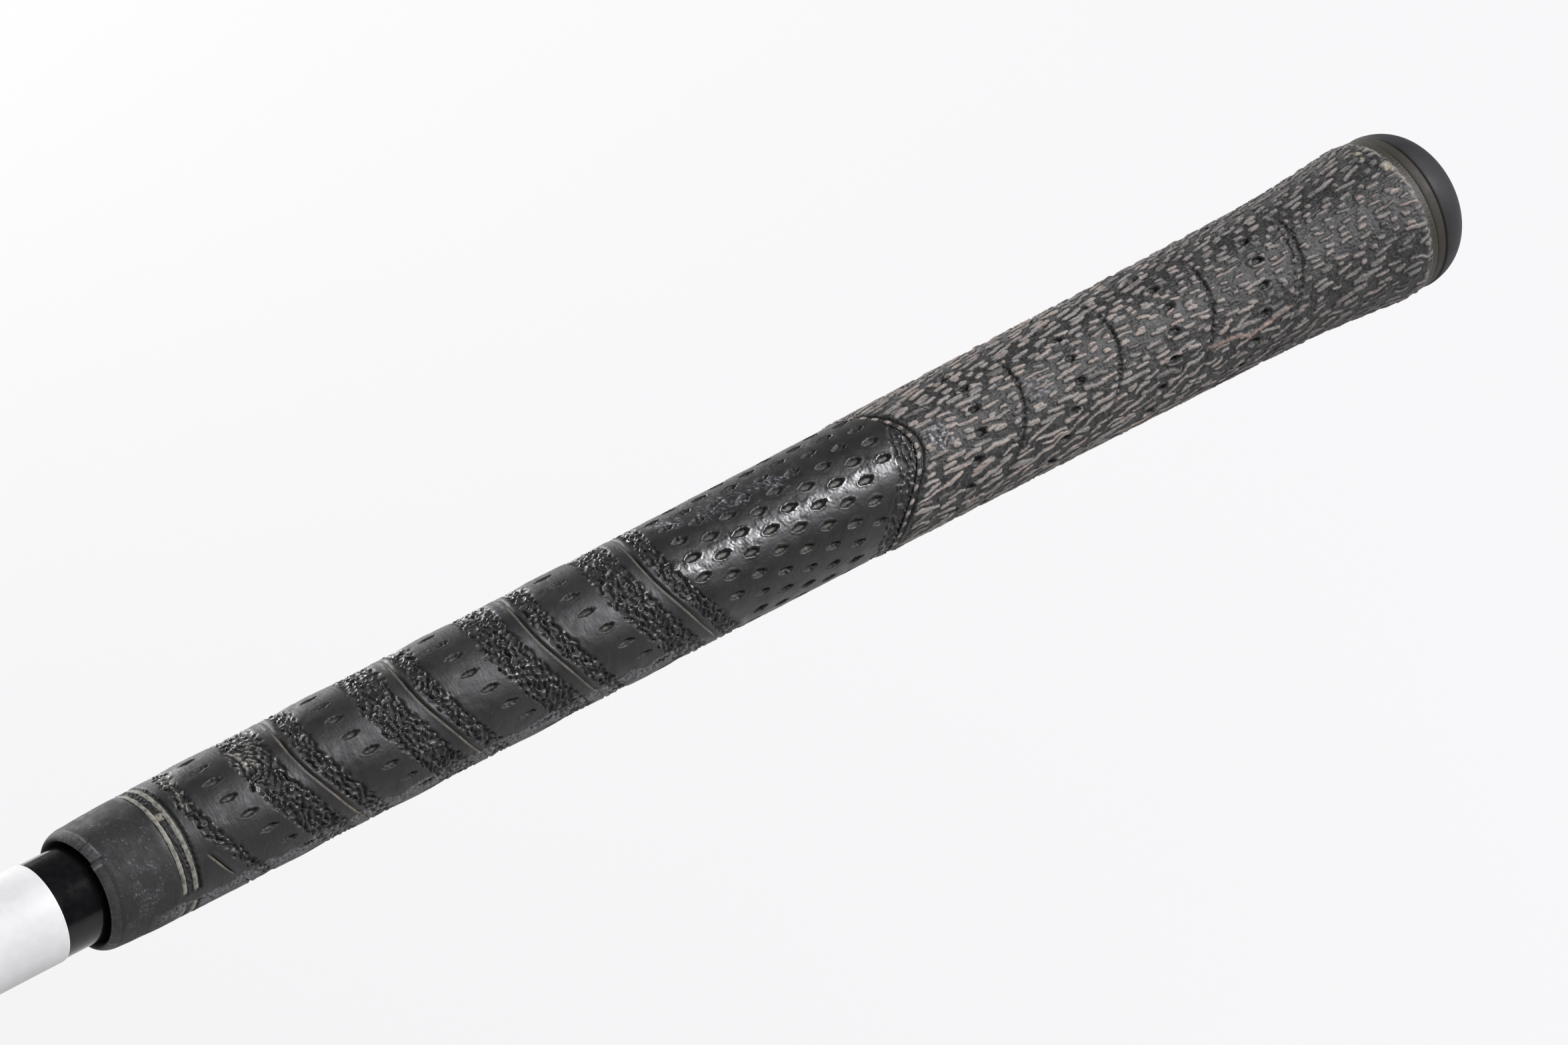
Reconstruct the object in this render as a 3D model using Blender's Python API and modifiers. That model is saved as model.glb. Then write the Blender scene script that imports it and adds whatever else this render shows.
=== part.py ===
"""A golf grip on the butt end of a club shaft: two moulded sleeves, an end cap, tape and the shaft.

The shaft's axis is the X axis. The grip's mouth is at X = 0 and its butt end is at +X, with +Z up.
Angles round the axis turn from +Z towards -Y, the right-handed way about +X.
"""

import math

import bmesh
import bpy

# Driving dimensions, in metres.
GRIP_LENGTH = 0.2685
JOIN_X = 0.155
CORD_END_X = 0.2584
STUB_LENGTH = 0.030
SHAFT_RADIUS = 0.0075
SHAFT_BUTT_RADIUS = 0.0076
SHAFT_WALL = 0.0013
COLLAR_RADIUS = 0.00986
BUTT_RADIUS = 0.01327
GAP = 0.0003

# The outside, from the collar to the start of the flare: stations along the axis and their radii.
TAPER = ((0.0160, 0.00995), (0.0867, 0.01023), (JOIN_X, 0.01070), (0.2100, 0.01133), (0.2330, 0.01176))
FLARE_START_X = 0.234
FLARE_END_X = 0.257
FLARE_STATIONS = 8

# The mouth's rounded lip and the collar's two ring grooves.
LIP_RADIUS = 0.0088
LIP_LENGTH = 0.0075
MOUTH_LAND_LENGTH = 0.0040
RING_GROOVE_XS = (0.0124, 0.0148)
RING_GROOVE_WIDTH = 0.0012
RING_GROOVE_DEPTH = 0.00055
RING_FILL_WIDTH = 0.0005
RING_FILL_TOP = 0.00012

# The spiral grooves of the two wraps. The lower one is right-handed, the upper one left-handed.
LOWER_PITCH = 0.0220
UPPER_PITCH = 0.0198
FACE_ANGLE = math.radians(44.2)
LOWER_WRAP_X = 0.0377
UPPER_WRAP_X = 0.1747
LOWER_TURNS = (-0.92, 3.45)
UPPER_TURNS = (-0.95, 3.25)
GROOVE_DEPTH = 0.0005
GROOVE_TOOL_RADIUS = 0.0009
GROOVE_RUN_OUT = 0.10
POINTS_PER_TURN = 24

# The joints between the pieces.
TAPE_THICKNESS = 0.00028
TAPE_SEAM = math.radians(8)
TAPE_END_X = 0.2540
LAP_LENGTH = 0.0080
LAP_RADIUS = 0.0096
CAP_SEAT_RADIUS = 0.0110
CAP_SEAT_LENGTH = 0.0080
CAP_CUP_BOTTOM_X = 0.2590
CAP_FACE_RADIUS = 0.0060
CAP_EDGE_RADIUS = 0.0125
DOME_START_X = 0.2589
DOME_LENGTH = 0.0101
DOME_POWER = 2.5
DOME_STATIONS = 7
VENT_RADIUS = 0.0012

# The white band on the shaft.
BAND_X = (-0.0240, -0.0061)
BAND_THICKNESS = 0.0002

ROUND_STEPS = 48

BORE_RADIUS = SHAFT_BUTT_RADIUS + GAP + TAPE_THICKNESS + GAP
MOUTH_BORE_RADIUS = SHAFT_RADIUS + GAP + 0.00005
SHAFT_END_X = CAP_CUP_BOTTOM_X - GAP


def clear_scene():
    for old in list(bpy.data.objects):
        bpy.data.objects.remove(old, do_unlink=True)


def new_collection(name):
    collection = bpy.data.collections.new(name)
    bpy.context.scene.collection.children.link(collection)
    return collection


def new_material(name, colour, roughness, metallic=0.0):
    material = bpy.data.materials.new(name)
    material.use_nodes = True
    shader = material.node_tree.nodes["Principled BSDF"]
    shader.inputs["Base Color"].default_value = (*colour, 1.0)
    shader.inputs["Roughness"].default_value = roughness
    shader.inputs["Metallic"].default_value = metallic
    material.diffuse_color = (*colour, 1.0)
    return material


def on_axis(name, mesh, collection):
    """An object whose local Z runs along the shaft, towards the butt end."""
    piece = bpy.data.objects.new(name, mesh)
    piece.rotation_euler = (0.0, math.pi / 2, 0.0)
    collection.objects.link(piece)
    return piece


def profile_mesh(name, outline, closed=True):
    """A mesh of one (station, radius) outline in the local XZ plane."""
    mesh = bpy.data.meshes.new(name)
    shape = bmesh.new()
    points = [shape.verts.new((radius, 0.0, station)) for station, radius in outline]
    for start, end in zip(points, points[1:]):
        shape.edges.new((start, end))
    if closed:
        shape.edges.new((points[-1], points[0]))
    shape.to_mesh(mesh)
    shape.free()
    return mesh


def turned(name, outline, material, collection):
    """A turned piece. Its outline goes down the outer side from the butt end, then back inside."""
    piece = on_axis(name, profile_mesh(name, outline), collection)
    piece.data.materials.append(material)
    screw = piece.modifiers.new("turn", "SCREW")
    screw.steps = ROUND_STEPS
    screw.render_steps = ROUND_STEPS
    screw.merge_threshold = 0.0001
    screw.use_merge_vertices = True
    screw.use_smooth_shade = False
    return piece


def smooth_step(value):
    value = min(max(value, 0.0), 1.0)
    return value * value * (3.0 - 2.0 * value)


def outer_radius(station):
    """The sleeves' outer radius past the collar."""
    if station > FLARE_START_X:
        start = TAPER[-1][1]
        return start + (BUTT_RADIUS - start) * smooth_step(
            (station - FLARE_START_X) / (FLARE_END_X - FLARE_START_X)
        )
    for (x0, r0), (x1, r1) in zip(TAPER, TAPER[1:]):
        if station <= x1:
            return r0 + (r1 - r0) * (station - x0) / (x1 - x0)
    return TAPER[-1][1]


def lip_outline():
    """The mouth's lip, a quarter of an ellipse from the collar down to the mouth's face."""
    points = []
    for step in range(5):
        turn = math.radians(90 * step / 5)
        radius = LIP_RADIUS + (COLLAR_RADIUS - LIP_RADIUS) * math.cos(turn)
        points.append((LIP_LENGTH * (1.0 - math.sin(turn)), radius))
    points.append((0.0002, LIP_RADIUS - 0.0001))
    points.append((0.0, LIP_RADIUS - 0.0004))
    return points


def ring_groove_outline():
    """The collar's two grooves, from the wrap's start down to the lip."""
    half = RING_GROOVE_WIDTH / 2
    points = []
    for x in reversed(RING_GROOVE_XS):
        for station, depth in (
            (x + half, 0.0),
            (x + half, RING_GROOVE_DEPTH),
            (x - half, RING_GROOVE_DEPTH),
            (x - half, 0.0),
        ):
            points.append((station, COLLAR_RADIUS - depth))
    return points


def build_rubber_sleeve(material, parts):
    outer = [(JOIN_X + LAP_LENGTH, LAP_RADIUS), (JOIN_X, LAP_RADIUS)]
    outer += [(x, r) for x, r in reversed(TAPER) if x <= JOIN_X]
    outer += ring_groove_outline() + lip_outline()
    inner = [
        (0.0, MOUTH_BORE_RADIUS + 0.0003),
        (0.0003, MOUTH_BORE_RADIUS),
        (MOUTH_LAND_LENGTH, MOUTH_BORE_RADIUS),
        (MOUTH_LAND_LENGTH, BORE_RADIUS),
        (JOIN_X + LAP_LENGTH, BORE_RADIUS),
    ]
    return turned("rubber_sleeve", outer + inner, material, parts)


def build_cord_sleeve(material, parts):
    flare = [
        FLARE_END_X + (FLARE_START_X - FLARE_END_X) * step / FLARE_STATIONS
        for step in range(FLARE_STATIONS + 1)
    ]
    edge = 0.0005
    start_x = JOIN_X + GAP
    outer = [(CORD_END_X, BUTT_RADIUS - edge), (CORD_END_X - edge, BUTT_RADIUS)]
    outer += [(x, outer_radius(x)) for x in flare]
    outer += [(x, r) for x, r in reversed(TAPER) if x > JOIN_X]
    outer += [(start_x + edge, outer_radius(start_x)), (start_x, outer_radius(start_x) - edge / 2)]
    lap_end = JOIN_X + LAP_LENGTH + GAP
    seat_start = CORD_END_X - CAP_SEAT_LENGTH
    inner = [
        (start_x, LAP_RADIUS + GAP),
        (lap_end, LAP_RADIUS + GAP),
        (lap_end, BORE_RADIUS),
        (seat_start, BORE_RADIUS),
        (seat_start, CAP_SEAT_RADIUS),
        (CORD_END_X, CAP_SEAT_RADIUS),
    ]
    return turned("cord_sleeve", outer + inner, material, parts)


def dome_radius(station):
    part = (station - DOME_START_X) / DOME_LENGTH
    return BUTT_RADIUS * (1.0 - part**DOME_POWER) ** (1.0 / DOME_POWER)


def build_butt_cap(material, parts):
    rim_x = CORD_END_X + GAP
    dome_first = DOME_START_X + 0.0018
    outer = [(GRIP_LENGTH, CAP_FACE_RADIUS)]
    for step in range(DOME_STATIONS):
        # The stations crowd towards the face, where the dome turns fastest.
        part = math.cos(math.radians(90 * (step + 1) / DOME_STATIONS)) ** 0.8
        station = dome_first + (GRIP_LENGTH - 0.0002 - dome_first) * part
        outer.append((station, dome_radius(station)))
    outer += [(rim_x + 0.0006, CAP_EDGE_RADIUS + 0.0004), (rim_x, CAP_EDGE_RADIUS)]
    seat_back = CORD_END_X - CAP_SEAT_LENGTH + GAP
    spigot = CAP_SEAT_RADIUS - GAP
    outer += [(rim_x, spigot), (seat_back, spigot)]
    inner = [
        (seat_back, BORE_RADIUS),
        (CAP_CUP_BOTTOM_X, BORE_RADIUS),
        (CAP_CUP_BOTTOM_X, VENT_RADIUS),
        (GRIP_LENGTH, VENT_RADIUS),
    ]
    return turned("butt_cap", outer + inner, material, parts)


def build_grip_tape(material, parts):
    """Double-sided tape laid round the shaft, with its two long edges not quite meeting."""
    radius = SHAFT_BUTT_RADIUS + GAP + TAPE_THICKNESS
    line = [(TAPE_END_X, radius), (MOUTH_LAND_LENGTH + GAP, radius)]
    piece = on_axis("grip_tape", profile_mesh("grip_tape", line, closed=False), parts)
    piece.data.materials.append(material)
    screw = piece.modifiers.new("turn", "SCREW")
    screw.angle = 2 * math.pi - TAPE_SEAM
    screw.steps = ROUND_STEPS
    screw.render_steps = ROUND_STEPS
    screw.use_smooth_shade = False
    solid = piece.modifiers.new("thickness", "SOLIDIFY")
    solid.thickness = TAPE_THICKNESS
    solid.offset = -1.0
    return piece


def build_shaft_tube(material, parts):
    """The shaft's butt end, cut square at both ends and hollow right through."""
    band_seat = SHAFT_RADIUS - GAP - BAND_THICKNESS
    outer = [
        (SHAFT_END_X, SHAFT_BUTT_RADIUS),
        (JOIN_X, SHAFT_BUTT_RADIUS),
        (BAND_X[1] + GAP, SHAFT_RADIUS),
        (BAND_X[1] + GAP, band_seat),
        (BAND_X[0] - GAP, band_seat),
        (BAND_X[0] - GAP, SHAFT_RADIUS),
        (-STUB_LENGTH, SHAFT_RADIUS),
    ]
    inner_radius = SHAFT_RADIUS - SHAFT_WALL
    inner = [(-STUB_LENGTH, inner_radius), (SHAFT_END_X, inner_radius)]
    return turned("shaft_tube", outer + inner, material, parts)


def build_shaft_band(material, parts):
    low, high = BAND_X
    inner_radius = SHAFT_RADIUS - BAND_THICKNESS
    outer = [(high, SHAFT_RADIUS), (low, SHAFT_RADIUS)]
    inner = [(low, inner_radius), (high, inner_radius)]
    return turned("shaft_band", outer + inner, material, parts)


def build_ring_inlays(material, parts):
    """The two grey rings that fill the collar's grooves."""
    top = COLLAR_RADIUS - RING_FILL_TOP
    bottom = COLLAR_RADIUS - RING_GROOVE_DEPTH + GAP
    for name, x in zip(("ring_inlay_front", "ring_inlay_rear"), RING_GROOVE_XS):
        low, high = x - RING_FILL_WIDTH / 2, x + RING_FILL_WIDTH / 2
        turned(name, [(high, top), (low, top), (low, bottom), (high, bottom)], material, parts)


def spiral_point(turn, first_x, pitch, turns):
    """A point on a spiral groove's centre line. It rises out of the surface at both ends.

    A negative pitch makes the spiral left-handed. Either way the turns count towards the butt end.
    """
    station = first_x + abs(pitch) * turn
    from_end = min(turn - turns[0], turns[1] - turn)
    lift = GROOVE_DEPTH * 2.4 * (1.0 - smooth_step(from_end / GROOVE_RUN_OUT))
    distance = outer_radius(station) + GROOVE_TOOL_RADIUS - GROOVE_DEPTH + lift
    angle = FACE_ANGLE + 2 * math.pi * turn * math.copysign(1.0, pitch)
    return (station, -distance * math.sin(angle), distance * math.cos(angle))


def spiral_cutter(name, first_x, pitch, turns, cutters):
    """A round wire along the groove, made a mesh so that a Boolean can use it."""
    curve = bpy.data.curves.new(name, "CURVE")
    curve.dimensions = "3D"
    curve.bevel_depth = GROOVE_TOOL_RADIUS
    curve.bevel_resolution = 1
    curve.use_fill_caps = True
    count = int((turns[1] - turns[0]) * POINTS_PER_TURN) + 1
    line = curve.splines.new("POLY")
    line.points.add(count - 1)
    for index, point in enumerate(line.points):
        turn = turns[0] + (turns[1] - turns[0]) * index / (count - 1)
        point.co = (*spiral_point(turn, first_x, pitch, turns), 1.0)
    guide = bpy.data.objects.new(name + "_guide", curve)
    cutters.objects.link(guide)
    bpy.context.view_layer.update()
    graph = bpy.context.evaluated_depsgraph_get()
    mesh = bpy.data.meshes.new_from_object(guide.evaluated_get(graph))
    shape = bmesh.new()
    shape.from_mesh(mesh)
    bmesh.ops.remove_doubles(shape, verts=shape.verts, dist=0.00001)
    bmesh.ops.recalc_face_normals(shape, faces=shape.faces)
    shape.to_mesh(mesh)
    shape.free()
    cutter = bpy.data.objects.new(name, mesh)
    cutter.matrix_world = guide.matrix_world
    bpy.data.objects.remove(guide, do_unlink=True)
    cutter.hide_render = True
    cutter.display_type = "WIRE"
    cutters.objects.link(cutter)
    return cutter


def cut(piece, cutter):
    boolean = piece.modifiers.new("groove", "BOOLEAN")
    boolean.operation = "DIFFERENCE"
    boolean.solver = "EXACT"
    boolean.object = cutter


def main():
    clear_scene()
    parts = new_collection("golf_grip")
    cutters = new_collection("cutters")
    rubber = new_material("rubber", (0.022, 0.021, 0.022), 0.55)
    corded = new_material("corded_rubber", (0.16, 0.145, 0.135), 0.85)
    cap = new_material("cap_rubber", (0.020, 0.022, 0.026), 0.45)
    paint = new_material("ring_paint", (0.22, 0.215, 0.18), 0.7)
    tape = new_material("tape", (0.62, 0.58, 0.46), 0.8)
    lacquer = new_material("shaft_lacquer", (0.010, 0.010, 0.012), 0.12)
    band = new_material("band_white", (0.80, 0.80, 0.80), 0.35)

    sleeve = build_rubber_sleeve(rubber, parts)
    cord = build_cord_sleeve(corded, parts)
    build_butt_cap(cap, parts)
    build_ring_inlays(paint, parts)
    build_grip_tape(tape, parts)
    build_shaft_tube(lacquer, parts)
    build_shaft_band(band, parts)
    cut(sleeve, spiral_cutter("lower_groove", LOWER_WRAP_X, LOWER_PITCH, LOWER_TURNS, cutters))
    cut(cord, spiral_cutter("upper_groove", UPPER_WRAP_X, -UPPER_PITCH, UPPER_TURNS, cutters))


main()
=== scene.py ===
"""The looks of a worn golf grip: a rubber lower sleeve, a corded upper sleeve, an end cap and the shaft.

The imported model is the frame. Its X axis is the shaft's axis, with the grip's mouth at X = 0 and the butt
end at +X. Every piece made here is a closed shell of rings round that axis. Lengths are in millimetres until
a shell is a mesh. A place on a surface is its station x along the axis and its angle in degrees round
the axis, counted from the line of the grip that faces the camera and turning the right-handed way about +X.
"""

import math

import bpy
import numpy as np
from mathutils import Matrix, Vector


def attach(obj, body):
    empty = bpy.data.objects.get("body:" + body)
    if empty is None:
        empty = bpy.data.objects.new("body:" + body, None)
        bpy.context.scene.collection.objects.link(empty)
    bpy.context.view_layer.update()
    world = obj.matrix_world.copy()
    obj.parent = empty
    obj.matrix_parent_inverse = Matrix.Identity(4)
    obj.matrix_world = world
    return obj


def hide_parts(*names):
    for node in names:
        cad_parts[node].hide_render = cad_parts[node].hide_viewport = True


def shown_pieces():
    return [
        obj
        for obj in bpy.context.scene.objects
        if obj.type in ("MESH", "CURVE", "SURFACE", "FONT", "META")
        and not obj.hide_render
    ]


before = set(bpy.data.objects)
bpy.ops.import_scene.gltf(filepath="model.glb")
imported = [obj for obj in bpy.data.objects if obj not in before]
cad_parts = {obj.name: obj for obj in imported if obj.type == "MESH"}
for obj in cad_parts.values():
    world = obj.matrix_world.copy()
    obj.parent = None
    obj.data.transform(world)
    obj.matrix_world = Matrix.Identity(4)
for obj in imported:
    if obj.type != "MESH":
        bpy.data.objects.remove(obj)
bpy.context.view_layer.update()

MM = 0.001
FACE_ANGLE = 44.2  # from +Z towards -Y, to the line of the grip that faces the camera

# The outside of the grip: stations and radii.
OUTSIDE = (
    (1.45, 9.37), (2.0, 9.50), (2.7, 9.55), (5.0, 9.65), (7.7, 9.80), (10.0, 9.87), (16.0, 9.95),
    (42.0, 10.02), (64.0, 10.12), (87.0, 10.23), (110.0, 10.34), (145.0, 10.60), (155.0, 10.70),
    (179.0, 10.97), (210.0, 11.33), (229.0, 11.64), (236.0, 11.78), (242.0, 12.13), (249.0, 12.71),
    (255.3, 13.24), (259.2, 13.27),
)
LIP = (
    (4.8, 8.48), (4.4, 8.20), (2.2, 8.12), (1.1, 8.18), (0.55, 8.32), (0.30, 8.56), (0.40, 8.82),
    (0.72, 9.06), (1.10, 9.24), (1.45, 9.37),
)
LIP_DIP = 0.55
LIP_DIP_WIDTH = 48.0
LIP_WEAR = 0.30
NICK_ANGLE = -18.8
CREASE_ANGLE = -39.0
BORE_RADIUS = 8.48
COLLAR_END_X = 11.0
RING_XS = (12.6, 14.55)
RING_GAP = (49.0, 61.0)  # the angles between which the rings are broken
RING_GROOVE_HALF = 0.40
RING_GROOVE_DEPTH = 0.34
PAINT_BRIDGE = (-29.5, -23.0)  # the angles where paint runs from one ring to the other
WRAPS_START_X = 16.0
LAP_RADIUS = 9.55
LAP_END_X = 162.6
CORD_END_X = 257.4
CAP_SEAM_X = 258.6
CAP_SEAT_RADIUS = 11.0
CAP_SEAT_X = 250.9
CAP_EDGE_RADIUS = 13.27
CAP_CUP_RADIUS = 9.0
VENT_RADIUS = 1.2

# The rows of both skins are straight rings at first. Towards the join they lean until they follow it.
SKIN_START_X = OUTSIDE[0][0]
SPLIT_X = 151.0
RUBBER_LEAN_X = 112.0
CORD_LEAN_X = 190.0

# The lower wrap, right-handed, and the upper wrap, left-handed. Each bows towards the butt on its front.
LOWER_PITCH = 22.0
LOWER_WRAP_X = 37.7
LOWER_BOW = 5.6
UPPER_PITCH = 19.8
UPPER_WRAP_XS = (135.3, 155.1, 174.9, 194.7, 214.0, 232.9, 251.5)
UPPER_BOW = 5.0
BOW_WIDTH = 62.0
# What the lower grooves and their rows of slots add to that path, by angle.
GROOVE_SHIFT = (
    (-200, 0.1), (-150, 0.7), (-110, 1.2), (-76, 0.85), (-54, -0.05), (-30, -0.3), (5, -0.3), (27, -0.5),
    (45, -0.8), (70, -0.7), (120, -0.4), (160, 0.1), (210, 0.7),
)
SLOT_SHIFT = (
    (-200, 0.0), (-120, -0.8), (-70, -1.3), (-51, -0.55), (-32, -0.2), (-13, 0.05), (6, 0.6), (25, 0.85),
    (44, 1.35), (63, 2.5), (100, 1.6), (160, 0.0), (240, -0.8),
)

# The bands of one lower wrap, as parts of its pitch: rough, smooth with a crowned middle, rough.
NARROW_BAND = (0.055, 0.20)
FIRST_NARROW_BAND = (0.11, 0.21)
WIDE_BAND = (0.62, 0.90)
BAND_SOFT = 0.012
CROWN = 0.41
CROWN_HALF = 0.22
CROWN_RISE = 0.12
# The cut of the lower spiral groove lies this far behind its line.
CUT_OFF = 0.20
CUT_WIDTH = 0.16
# Where the rough bands are full of pale dust: stations and angles, each with its soft edge, and strength.
DUSTY_BANDS = (
    ((25.0, 33.0, 2.0), (-60.0, -27.0, 6.0), 1.0),
    ((13.0, 20.0, 1.5), (-70.0, -26.0, 5.0), 0.8),
    ((45.0, 52.0, 1.5), (-60.0, -40.0, 6.0), 0.35),
)

# The slots pressed into the lower sleeve. Each wrap has one row, and the thumb zone has staggered ones.
SLOT_ANGLE = 6.0
WRAP_SLOTS = 19
WRAP_SLOT_PART = 0.43
WRAP_SLOT_HALVES = (1.65, 0.42)
SLOT_DEPTH = 0.42
THUMB_ROWS = 38
THUMB_SLOT_XS = (110.7, 115.4)
THUMB_SLOT_PITCH = 9.37
THUMB_SLOT_HALVES = (1.5, 0.54)
PARTING_ANGLES = (57.0, -123.0)
POLISHED = (-17.5, 2.0)  # the angles of the thumb zone's polished strip

# The cord strands, in rows along the grip: their lengths and how strongly they show, each with its shares.
STRAND_ROWS = 62
STRAND_RISE = 0.25
STRAND_LENGTHS = (1.8, 2.6, 3.3, 4.2, 6.0)
LENGTH_SHARES = (0.22, 0.30, 0.26, 0.15, 0.07)
STRAND_STRENGTHS = (1.0, 0.85, 0.6, 0.35)
STRENGTH_SHARES = (0.5, 0.3, 0.12, 0.08)
# By station, the strands get shorter, and they fade. By angle, they lean to one side or the other.
SHORTER_XS = (190.0, 215.0)
FADING_XS = (190.0, 228.0)
FLOWING = (22.0, 120.0, 10.0)
RISING = (-120.0, -42.0, 12.0)
BEADS = 36
CORD_HOLES = 18
CORD_HOLE_DEPTH = 0.55
CORD_HOLE_HALVES = (1.15, 0.58)
CORD_HOLE_ANGLE = 5.0
CORD_HOLE_PART = 0.57
LAST_CORD_HOLE_X = 236.0

# One loose thread: stations and angles. Pale chips at the sleeve's end: station, angle and size.
THREAD_PATH = (
    (210.0, 30.5), (214.5, 31.5), (217.5, 33.0), (219.0, 37.5), (222.0, 35.0), (225.0, 32.0), (230.0, 29.5),
)
CHIPS = ((256.3, -30.0, 0.85), (255.0, -55.0, 0.7), (254.4, -48.0, 0.4))


# ---- Numbers and fields ----


def wrap180(angle):
    """The same angle, between -180 and 180 degrees."""
    return (np.asarray(angle, float) + 180.0) % 360.0 - 180.0


def around(columns):
    """The angles of the points of one ring."""
    return np.linspace(-180.0, 180.0, columns, endpoint=False)


def bell(value, width):
    """1 at zero, falling off smoothly to both sides."""
    return np.exp(-((value / width) ** 2))


def step(value, start, end):
    """0 before start, 1 after end, smooth between."""
    part = np.clip((value - start) / (end - start), 0.0, 1.0)
    return part * part * (3.0 - 2.0 * part)


def band(value, start, end, soft):
    """1 between start and end, 0 outside, with soft edges."""
    return step(value, start - soft, start + soft) * (1.0 - step(value, end - soft, end + soft))


def smooth_line(points, x):
    """A smooth curve through the points, read at x."""
    px, py = np.array(points, float).T
    slope = np.gradient(py, px)
    i = np.clip(np.searchsorted(px, x) - 1, 0, len(px) - 2)
    width = px[i + 1] - px[i]
    t = np.clip((x - px[i]) / width, 0.0, 1.0)
    return (
        (2 * t**3 - 3 * t**2 + 1) * py[i]
        + (t**3 - 2 * t**2 + t) * width * slope[i]
        + (3 * t**2 - 2 * t**3) * py[i + 1]
        + (t**3 - t**2) * width * slope[i + 1]
    )


def rounded(points, count):
    """Points evenly spread in parameter along a smooth curve through the given (station, radius) points."""
    keys = np.arange(len(points), dtype=float)
    at = np.linspace(0, len(points) - 1, count)
    stations, radii = np.array(points, float).T
    return smooth_line(list(zip(keys, stations)), at), smooth_line(list(zip(keys, radii)), at)


def outside(x):
    """The grip's radius at a station, before any texture."""
    return smooth_line(OUTSIDE, x)


class Field:
    """A seeded random pattern on the unrolled surface, of waves between two wavelengths in millimetres."""

    STEP = 0.15
    LENGTH = 280.0
    BEFORE = 5.0  # how much of the length lies in front of the mouth
    ROUND = 66.0

    def __init__(self, shortest, longest, seed, stretch=1.0):
        rows, columns = int(self.LENGTH / self.STEP), int(self.ROUND / self.STEP)
        noise = np.random.default_rng(seed).standard_normal((rows, columns))
        along = np.fft.fftfreq(rows, self.STEP)[:, None] * stretch
        across = np.fft.rfftfreq(columns, self.STEP)[None, :]
        wave = np.hypot(along, across)
        keep = step(wave, 0.7 / longest, 1.0 / longest) * (1.0 - step(wave, 1.0 / shortest, 1.3 / shortest))
        pattern = np.fft.irfft2(np.fft.rfft2(noise) * keep, s=noise.shape)
        self.pattern = pattern / pattern.std()

    def __call__(self, x, angle):
        rows, columns = self.pattern.shape
        u = (np.asarray(x) + self.BEFORE) / self.LENGTH * rows
        v = (np.asarray(angle) % 360.0) / 360.0 * columns
        u, v = np.broadcast_arrays(u, v)
        i, j = np.floor(u).astype(int), np.floor(v).astype(int)
        s, t = u - i, v - j
        i0, i1, j0, j1 = i % rows, (i + 1) % rows, j % columns, (j + 1) % columns
        p = self.pattern
        return (p[i0, j0] * (1 - s) + p[i1, j0] * s) * (1 - t) + (p[i0, j1] * (1 - s) + p[i1, j1] * s) * t


class Skin:
    """The outside of one sleeve: stations, angles, heights above the outside radius and named masks."""

    MASKS = ()
    COLUMNS = 0

    def __init__(self, stations, leaning):
        """Rows at these stations, each leaning this much, from 0 to 1, towards the line of the join."""
        angle = around(self.COLUMNS)
        self.x = stations[:, None] + leaning[:, None] * (sleeve_join(angle) - SPLIT_X)[None, :]
        self.angle = np.broadcast_to(angle, self.x.shape)
        self.turn = wrap180(self.angle)
        self.radius = outside(self.x)
        self.height = np.zeros_like(self.x)
        self.masks = {name: np.zeros_like(self.x) for name in self.MASKS}

    def noise(self, shortest, longest, seed, stretch=1.0):
        """One field's value at each point of the skin."""
        return Field(shortest, longest, seed, stretch)(self.x, self.angle)

    def window(self, x, angle, reach, spread):
        """The rows and columns within reach mm and spread degrees of a place, as one index, or None."""
        columns = self.x.shape[1]
        centre = int((wrap180(angle) + 180.0) / 360.0 * columns)
        rows = np.flatnonzero(np.abs(self.x[:, centre % columns] - x) < reach)
        if not len(rows):
            return None
        half = int(spread / 360.0 * columns) + 2
        return np.ix_(rows, np.arange(centre - half, centre + half + 1) % columns)

    def arc(self, angle, at=np.s_[:, :]):
        """How far each point is from this angle, in mm round the grip."""
        return np.radians(wrap180(self.angle[at] - angle)) * self.radius[at]

    def raise_mask(self, name, values, at=np.s_[:, :]):
        """Raises a mask to at least these values."""
        self.masks[name][at] = np.maximum(self.masks[name][at], values)


def ring_shell(name, x, radius, masks, material):
    """A closed shell of rings. Rows run towards +X on the outside, and the last row joins the first."""
    rows, columns = x.shape
    turn = np.radians(FACE_ANGLE + around(columns))
    points = np.stack([x, -radius * np.sin(turn), radius * np.cos(turn)], axis=-1).reshape(-1, 3) * MM
    row = np.arange(rows)[:, None]
    column = np.arange(columns)[None, :]
    after, beside = (row + 1) % rows, (column + 1) % columns
    here, there = row * columns, after * columns
    corners = [here + column, here + beside, there + beside, there + column]
    quads = np.stack(corners, axis=-1).reshape(-1, 4)
    mesh = bpy.data.meshes.new(name)
    mesh.vertices.add(len(points))
    mesh.vertices.foreach_set("co", points.astype(np.float32).ravel())
    mesh.loops.add(quads.size)
    mesh.loops.foreach_set("vertex_index", quads.astype(np.int32).ravel())
    mesh.polygons.add(len(quads))
    mesh.polygons.foreach_set("loop_start", np.arange(0, quads.size, 4, dtype=np.int32))
    mesh.polygons.foreach_set("use_smooth", np.ones(len(quads), bool))
    mesh.update(calc_edges=True)
    for mask, values in masks.items():
        layer = mesh.attributes.new(mask, "FLOAT", "POINT")
        layer.data.foreach_set("value", values.astype(np.float32).ravel())
    mesh.materials.append(material)
    piece = bpy.data.objects.new(name, mesh)
    bpy.context.scene.collection.objects.link(piece)
    return piece


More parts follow.
